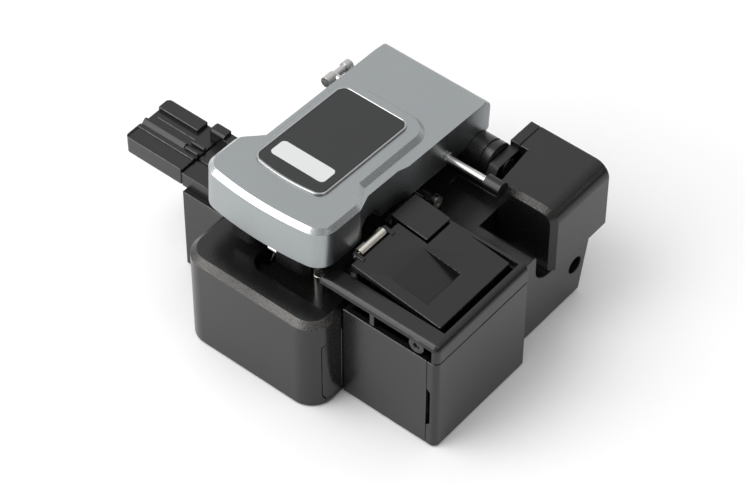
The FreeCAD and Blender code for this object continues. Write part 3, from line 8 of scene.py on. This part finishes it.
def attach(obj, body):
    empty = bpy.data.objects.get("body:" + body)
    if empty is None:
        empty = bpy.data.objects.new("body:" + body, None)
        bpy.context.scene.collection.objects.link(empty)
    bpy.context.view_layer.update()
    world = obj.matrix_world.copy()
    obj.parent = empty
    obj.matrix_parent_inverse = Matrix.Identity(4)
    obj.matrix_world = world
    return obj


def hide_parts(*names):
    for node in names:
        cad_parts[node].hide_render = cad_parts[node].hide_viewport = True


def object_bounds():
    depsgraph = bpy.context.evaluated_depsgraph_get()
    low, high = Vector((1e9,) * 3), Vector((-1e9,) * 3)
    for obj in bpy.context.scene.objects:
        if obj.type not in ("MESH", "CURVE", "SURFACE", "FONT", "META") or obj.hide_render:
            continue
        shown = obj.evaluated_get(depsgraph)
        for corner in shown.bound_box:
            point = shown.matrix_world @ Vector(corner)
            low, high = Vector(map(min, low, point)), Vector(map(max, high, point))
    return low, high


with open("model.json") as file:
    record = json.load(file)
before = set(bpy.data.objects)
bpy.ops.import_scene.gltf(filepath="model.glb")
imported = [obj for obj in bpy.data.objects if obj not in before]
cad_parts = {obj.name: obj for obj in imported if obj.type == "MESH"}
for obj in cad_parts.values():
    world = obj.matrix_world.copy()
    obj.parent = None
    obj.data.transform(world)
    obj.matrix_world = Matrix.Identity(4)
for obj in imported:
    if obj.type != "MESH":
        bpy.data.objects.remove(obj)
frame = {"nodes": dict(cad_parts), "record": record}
cad_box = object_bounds()
record = frame["record"]
SLOT_OF = {part["node"]: part["material_slot"] for part in record["subparts"]}
BODY_OF = {node: body for body, nodes in record["behaviour"]["bodies"].items() for node in nodes}

MM = 0.001
EVEN = (1, 1, 1)
ROUND_THE_BAR = (40, 1, 1)      # squeezes a pattern into fine rings
GLOSS_SWING = 0.08              # how far a finish's roughness wanders from its middle


# ---------------------------------------------------------------- finishes
def new_finish(name):
    """An empty material with its shader, and the object's own coordinates to draw patterns on."""
    finish = bpy.data.materials.new(name)
    finish.use_nodes = True
    tree = finish.node_tree
    shader = tree.nodes["Principled BSDF"]
    place = tree.nodes.new("ShaderNodeTexCoord").outputs["Object"]
    return finish, tree, shader, place


def noise(tree, place, scale, detail, stretch=EVEN):
    """A cloudy value between 0 and 1; the scale is in spots per metre."""
    mapping = tree.nodes.new("ShaderNodeMapping")
    mapping.inputs["Scale"].default_value = stretch
    tree.links.new(place, mapping.inputs["Vector"])
    texture = tree.nodes.new("ShaderNodeTexNoise")
    texture.inputs["Scale"].default_value = scale
    texture.inputs["Detail"].default_value = detail
    tree.links.new(mapping.outputs["Vector"], texture.inputs["Vector"])
    return texture.outputs["Fac"]


def ramp(tree, value, stops):
    """Colours or greys along a value."""
    node = tree.nodes.new("ShaderNodeValToRGB")
    while len(node.color_ramp.elements) < len(stops):
        node.color_ramp.elements.new(0.5)
    for element, (place, colour) in zip(node.color_ramp.elements, stops):
        element.position = place
        element.color = (*colour, 1) if isinstance(colour, tuple) else (colour, colour, colour, 1)
    tree.links.new(value, node.inputs["Fac"])
    return node.outputs["Color"]


def bump(tree, shader, height, strength, depth):
    """Relief in the surface, its depth in millimetres."""
    node = tree.nodes.new("ShaderNodeBump")
    node.inputs["Strength"].default_value = strength
    node.inputs["Distance"].default_value = depth * MM
    tree.links.new(height, node.inputs["Height"])
    tree.links.new(node.outputs["Normal"], shader.inputs["Normal"])


def tinted(colour, factor):
    """The colour made lighter or darker by a factor."""
    return tuple(min(1.0, part * factor) for part in colour)


def anodised(name, colour, metallic, rough, sparkle=0.35, spread=0.10, grain=6500, relief=0.03):
    """Bead-blasted, anodised aluminium: fine grain, faint clouds of tone, uneven gloss."""
    finish, tree, shader, place = new_finish(name)
    cloud = noise(tree, place, 38, 4)
    dark, light = tinted(colour, 1 - spread), tinted(colour, 1 + spread)
    tree.links.new(ramp(tree, cloud, [(0.3, dark), (0.7, light)]), shader.inputs["Base Color"])
    fine = noise(tree, place, grain, 1)
    gloss = ramp(tree, fine, [(0.25, rough - GLOSS_SWING), (0.75, rough + GLOSS_SWING)])
    tree.links.new(gloss, shader.inputs["Roughness"])
    shader.inputs["Metallic"].default_value = metallic
    bump(tree, shader, fine, sparkle, relief)
    return finish


def turned_steel(name, colour, rough, stretch=ROUND_THE_BAR, lines=900):
    """Steel with fine tool marks that run round the bar."""
    finish, tree, shader, place = new_finish(name)
    marks = noise(tree, place, lines, 3, stretch)
    tone = ramp(tree, marks, [(0.2, tinted(colour, 0.85)), (0.8, tinted(colour, 1.1))])
    tree.links.new(tone, shader.inputs["Base Color"])
    gloss = ramp(tree, marks, [(0.2, rough - 0.06), (0.8, rough + GLOSS_SWING)])
    tree.links.new(gloss, shader.inputs["Roughness"])
    shader.inputs["Metallic"].default_value = 1.0
    bump(tree, shader, marks, 0.15, 0.02)
    return finish


def polished(name, colour, rough):
    """Bright plated or polished metal with a slight haze."""
    finish, tree, shader, place = new_finish(name)
    haze = noise(tree, place, 700, 3)
    gloss = ramp(tree, haze, [(0.3, rough), (0.8, rough + GLOSS_SWING)])
    tree.links.new(gloss, shader.inputs["Roughness"])
    tone = ramp(tree, haze, [(0.2, tinted(colour, 0.94)), (0.8, colour)])
    tree.links.new(tone, shader.inputs["Base Color"])
    shader.inputs["Metallic"].default_value = 1.0
    return finish


def moulded_rubber(name, colour):
    """Dull rubber with a fine skin."""
    finish, tree, shader, place = new_finish(name)
    grain = noise(tree, place, 3000, 4)
    tone = ramp(tree, grain, [(0.3, tinted(colour, 0.8)), (0.8, tinted(colour, 1.25))])
    tree.links.new(tone, shader.inputs["Base Color"])
    tree.links.new(ramp(tree, grain, [(0.2, 0.7), (0.8, 0.9)]), shader.inputs["Roughness"])
    bump(tree, shader, grain, 0.3, 0.03)
    return finish


# Name, colour, metallic and roughness. Cut edges are coarser and brighter than the skin beside them: the
# brighter colour is partly the cut anodising and partly a painted highlight.
BLACK = anodised("black_anodised", (0.0070, 0.0066, 0.0066), 0.0, 0.25, sparkle=0.25)
# The black edge finish is lighter than the skin partly as a painted highlight along edges and chamfers.
BLACK_EDGE_AND_HIGHLIGHT = anodised("black_cut_edge_and_highlight", (0.080, 0.077, 0.074), 1.0, 0.30,
                      sparkle=1.0, spread=0.35, grain=3600, relief=0.12)
HOLDER = anodised("holder_anodised", (0.0075, 0.0070, 0.0072), 0.0, 0.24, sparkle=0.2)
LEVER = anodised("lever_grey_anodised", (0.358, 0.380, 0.388), 1.0, 0.33, sparkle=0.25, spread=0.03)
# The lever edge finish is lighter than the lever partly as a painted highlight along its edges and
# chamfers.
LEVER_EDGE_AND_HIGHLIGHT = anodised("lever_cut_edge_and_highlight", (0.52, 0.54, 0.545), 1.0, 0.25,
                      sparkle=0.6, spread=0.08, grain=3600, relief=0.035)
PLATE = anodised("nameplate_dark", (0.012, 0.013, 0.014), 0.0, 0.26, sparkle=0.12)
STEEL = turned_steel("turned_steel", (0.56, 0.55, 0.54), 0.26)
BLADE = turned_steel("ground_blade", (0.62, 0.62, 0.62), 0.18, EVEN, 1500)
DARK_STEEL = turned_steel("blackened_steel", (0.05, 0.05, 0.052), 0.34)
BRIGHT = polished("polished_rim", (0.46, 0.46, 0.46), 0.07)
WARM_STEEL = turned_steel("warm_roller_steel", (0.86, 0.82, 0.75), 0.22, ROUND_THE_BAR, 600)
LIGHT_BAND = anodised("light_band", (0.62, 0.63, 0.63), 0.0, 0.45, sparkle=0.1, spread=0.02)
NICKEL = polished("nickel_plate", (0.70, 0.68, 0.64), 0.16)
RUBBER = moulded_rubber("black_rubber", (0.018, 0.018, 0.018))

FINISH_OF_SLOT = {
    "black_anodised": BLACK, "holder_black": HOLDER, "lever_grey": LEVER, "plate_dark": PLATE,
    "bright_rim": BRIGHT, "steel": STEEL, "blade_steel": BLADE, "dark_steel": DARK_STEEL,
    "rubber": RUBBER, "magnet": NICKEL,
}
# Pieces with a finish of their own, brighter than the rest of their slot.
OWN_FINISH = {
    "pinch_roller": WARM_STEEL, "latch_magnet": NICKEL, "clamp_screws": NICKEL, "return_screw": NICKEL,
}
# Each finish's lighter edge finish, partly cut anodising and partly a painted highlight on edges and
# chamfers.
EDGE_AND_HIGHLIGHT_FINISH = {BLACK: BLACK_EDGE_AND_HIGHLIGHT, HOLDER: BLACK_EDGE_AND_HIGHLIGHT, LEVER: LEVER_EDGE_AND_HIGHLIGHT}


# ---------------------------------------------------------------- pieces
SAME_SPOT = 0.002 * MM              # corners closer than this are one corner
FLAT_WITHIN = math.radians(0.6)     # triangles this nearly level with each other are one face
SHARP_OVER = math.radians(55)       # outside edges sharper than this are broken
CREASE_OVER = math.radians(24)      # a cut chamfer meets a neighbour at more than this
CHAMFER_RISE = (0.62, 0.80)         # how far up a cut chamfer looks
NEARLY_UP = 0.999
BROAD_AREA = 40 * MM * MM
SAME_LEVEL = 0.2 * MM
# The second finish is the lighter edge finish, in part a painted highlight.
CUT_EDGE_AND_HIGHLIGHT = 1                        # the second finish on a piece

LEVER_TILT = math.radians(2.9)      # the lever's top rises this much towards the front
LEVER_UP = Vector((0.0, math.sin(LEVER_TILT), math.cos(LEVER_TILT)))

# On these pieces the wide chamfers also take the lighter edge finish, in part a painted highlight.
WIDE_CHAMFERS = {"lever_body", "front_housing", "rear_cover"}
# Faces that meet at less than this many degrees shade as one curve.
SMOOTH_UNDER = {"lever_body": 18, "front_housing": 24, "rear_cover": 24, "scrap_lid": 15}
USUAL_SMOOTH = 30
# Widths of the broken edges in millimetres.
EDGE_WIDTH = {
    "lever_body": 0.15, "front_housing": 0.10, "base_body": 0.15, "scrap_bin": 0.12, "bin_housing": 0.12,
    "scrap_frame": 0.12, "scrap_lid": 0.14, "rear_cover": 0.12, "fibre_holder": 0.14, "holder_seat": 0.10,
}
USUAL_EDGE = 0.05


def whole_faces(node):
    """A copy of the node's shape, with its triangles joined into whole faces."""
    shape = bmesh.new()
    shape.from_mesh(frame["nodes"][node].data)
    bmesh.ops.remove_doubles(shape, verts=shape.verts, dist=SAME_SPOT)
    bmesh.ops.dissolve_limit(shape, angle_limit=FLAT_WITHIN, verts=shape.verts, edges=shape.edges)
    return shape


def narrow_ledge(shape, up):
    """The faces on the level of the lower broad top, whose strip beside the raised top stays sharp."""
    tops = [(face, up.dot(face.calc_center_median())) for face in shape.faces
            if face.normal.dot(up) > NEARLY_UP]
    level = min(height for face, height in tops if face.calc_area() > BROAD_AREA)
    return [face for face, height in tops if abs(height - level) < SAME_LEVEL]


def break_edges(shape, width, spared):
    """A narrow flat on every sharp outside edge, but not round the spared faces."""
    kept = {edge for face in spared for edge in face.edges}
    sharp = [edge for edge in shape.edges if edge not in kept
             and edge.is_manifold and edge.is_convex and edge.calc_face_angle(0) > SHARP_OVER]
    flats = bmesh.ops.bevel(shape, geom=sharp, offset=width * MM, offset_type="OFFSET", segments=1,
                            profile=0.5, affect="EDGES", clamp_overlap=False, material=-1)
    return flats["faces"]


def cut_chamfers(shape):
    """The wide cut chamfers, which meet the faces beside them at an angle, and what goes on from them."""
    low, high = CHAMFER_RISE
    sloping = [face for face in shape.faces if low < face.normal.z < high]
    cut = [face for face in sloping
           if any(edge.calc_face_angle(0) > CREASE_OVER for edge in face.edges)]
    for face in cut:
        for edge in face.edges:
            cut += [other for other in edge.link_faces if other in sloping and other not in cut]
    return cut


def crease_edges(shape, degrees):
    """Shade across the gentle edges only."""
    shape.normal_update()
    for face in shape.faces:
        face.smooth = True
    for edge in shape.edges:
        edge.smooth = len(edge.link_faces) == 2 and edge.calc_face_angle() < math.radians(degrees)


def new_piece(name, shape, *finishes):
    """An object in the scene from a shape, which is used up."""
    mesh = bpy.data.meshes.new(name)
    shape.to_mesh(mesh)
    shape.free()
    for finish in finishes:
        mesh.materials.append(finish)
    piece = bpy.data.objects.new(name, mesh)
    bpy.context.scene.collection.objects.link(piece)
    return piece


def finished(node):
    """A machined copy of a node that takes its place, in its finish and with its edges broken."""
    finish = OWN_FINISH.get(node, FINISH_OF_SLOT[SLOT_OF[node]])
    edge_and_highlight_finish = EDGE_AND_HIGHLIGHT_FINISH.get(finish)
    shape = whole_faces(node)
    spared = narrow_ledge(shape, LEVER_UP) if node == "lever_body" else ()
    cut = break_edges(shape, EDGE_WIDTH.get(node, USUAL_EDGE), spared)
    if node in WIDE_CHAMFERS:
        cut = cut + cut_chamfers(shape)
    # Broken edges and wide chamfers take the lighter edge finish, partly cut metal and partly a painted
    # highlight.
    if edge_and_highlight_finish:
        for face in cut:
            face.material_index = CUT_EDGE_AND_HIGHLIGHT
    crease_edges(shape, SMOOTH_UNDER.get(node, USUAL_SMOOTH))
    piece = new_piece(node + "_finished", shape, *filter(None, (finish, edge_and_highlight_finish)))
    old_normals = piece.data.attributes.get("custom_normal")     # copied from the node, and no longer true
    if old_normals:
        piece.data.attributes.remove(old_normals)
    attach(piece, BODY_OF[node])
    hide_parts(node)


for node in frame["nodes"]:
    finished(node)

# The light band in millimetres: how far in from the nameplate's left, right and front sides, and its size.
BAND_LEFT, BAND_RIGHT, BAND_FRONT = 1.4, 2.0, 3.6
BAND_DEPTH = 5.0
BAND_CORNER = 1.1
BAND_THICK = 0.03


def plain_band():
    """A plain light band across the front of the nameplate, a hair higher than the plate's surface."""
    hinge = next(joint for joint in record["behaviour"]["joints"] if joint["name"] == "lever_hinge")
    tilted = Matrix.Translation(hinge["pos_m"]) @ Matrix.Rotation(-LEVER_TILT, 4, "X")
    level = tilted.inverted()
    plate = [level @ corner.co for corner in frame["nodes"]["nameplate"].data.vertices]
    left = min(spot.x for spot in plate) + BAND_LEFT * MM
    right = max(spot.x for spot in plate) - BAND_RIGHT * MM
    front = min(spot.y for spot in plate) + BAND_FRONT * MM
    depth = BAND_DEPTH * MM
    middle = ((left + right) / 2, front + depth / 2, max(spot.z for spot in plate))
    shape = bmesh.new()
    bmesh.ops.create_grid(shape, x_segments=1, y_segments=1, size=0.5)
    bmesh.ops.scale(shape, vec=(right - left, depth, 1), verts=shape.verts)
    bmesh.ops.bevel(shape, geom=shape.verts[:], offset=BAND_CORNER * MM, offset_type="OFFSET", segments=8,
                    profile=0.5, affect="VERTICES", clamp_overlap=False, material=-1)
    raised = bmesh.ops.extrude_face_region(shape, geom=shape.faces[:])
    lifted = [part for part in raised["geom"] if isinstance(part, bmesh.types.BMVert)]
    bmesh.ops.translate(shape, vec=(0, 0, BAND_THICK * MM), verts=lifted)
    bmesh.ops.recalc_face_normals(shape, faces=shape.faces)
    bmesh.ops.transform(shape, matrix=tilted @ Matrix.Translation(middle), verts=shape.verts)
    band = new_piece("nameplate_band", shape, LIGHT_BAND)
    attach(band, "lever")


plain_band()


# ---------------------------------------------------------------- scene
FLOOR_REACH = 3.0
FLOOR_GREY = (0.92, 0.92, 0.92, 1)
FLOOR_ROUGH = 0.7
# The white surroundings are brightest this way, and darken along the stops the other way.
BRIGHT_SIDE = (-0.49, 0.0, 0.10)
SURROUNDINGS = [(0.15, 0.22), (0.45, 0.70), (0.72, 0.95)]
# Name, place, what it looks at, size in metres, power in watts.
SOFTBOXES = [
    ("front", (-0.27, -0.46, 0.33), (0, 0, 0.03), (0.55, 0.30), 1.3),
    ("overhead", (-0.30, -0.30, 0.85), (0, 0, 0), (0.55, 0.55), 3.0),
    ("fill", (0.58, 0.12, 0.90), (0.45, 0.12, 0), (0.50, 0.50), 1.2),
]
SENSOR_WIDTH = 36
FOCAL_LENGTH = 144.186
CLIP_NEAR, CLIP_FAR = 0.05, 10
EYE_PLACE = (0.29116, -0.35231, 0.51477)
EYE_TURN = ((0.77215, -0.47054, 0.42705), (0.63544, 0.56924, -0.52172), (0.00240, 0.67421, 0.73854))


def pale_floor():
    """A plain floor under the feet."""
    shape = bmesh.new()
    bmesh.ops.create_grid(shape, x_segments=1, y_segments=1, size=FLOOR_REACH)
    bmesh.ops.translate(shape, vec=(0, 0, cad_box[0][2]), verts=shape.verts)
    finish, _, shader, _ = new_finish("pale_floor")
    shader.inputs["Base Color"].default_value = FLOOR_GREY
    shader.inputs["Roughness"].default_value = FLOOR_ROUGH
    new_piece("floor", shape, finish)


def softbox(name, place, target, size, power):
    """A rectangular light that looks at its target."""
    light = bpy.data.lights.new(name, "AREA")
    light.shape = "RECTANGLE"
    light.size, light.size_y = size
    light.energy = power
    lamp = bpy.data.objects.new(name, light)
    lamp.location = place
    lamp.rotation_euler = (Vector(target) - Vector(place)).to_track_quat("-Z", "Y").to_euler()
    bpy.context.scene.collection.objects.link(lamp)


def studio():
    """White surroundings that darken towards the right, and the softboxes."""
    world = bpy.data.worlds.new("studio")
    world.use_nodes = True
    tree = world.node_tree
    around = tree.nodes.new("ShaderNodeTexCoord").outputs["Generated"]
    side = tree.nodes.new("ShaderNodeVectorMath")
    side.operation = "DOT_PRODUCT"
    side.inputs[1].default_value = BRIGHT_SIDE
    tree.links.new(around, side.inputs[0])
    shift = tree.nodes.new("ShaderNodeMath")
    shift.operation = "ADD"
    shift.inputs[1].default_value = 0.5
    tree.links.new(side.outputs["Value"], shift.inputs[0])
    tone = ramp(tree, shift.outputs["Value"], SURROUNDINGS)
    tree.links.new(tone, tree.nodes["Background"].inputs["Color"])
    bpy.context.scene.world = world
    for box in SOFTBOXES:
        softbox(*box)
    bpy.context.scene.view_settings.view_transform = "Standard"


def camera():
    """Long lens, from the front right and well above."""
    lens = bpy.data.cameras.new("camera")
    lens.sensor_width = SENSOR_WIDTH
    lens.lens = FOCAL_LENGTH
    lens.clip_start = CLIP_NEAR
    lens.clip_end = CLIP_FAR
    eye = bpy.data.objects.new("camera", lens)
    eye.matrix_world = Matrix.Translation(EYE_PLACE) @ Matrix(EYE_TURN).to_4x4()
    bpy.context.scene.collection.objects.link(eye)
    bpy.context.scene.camera = eye


pale_floor()
studio()
camera()
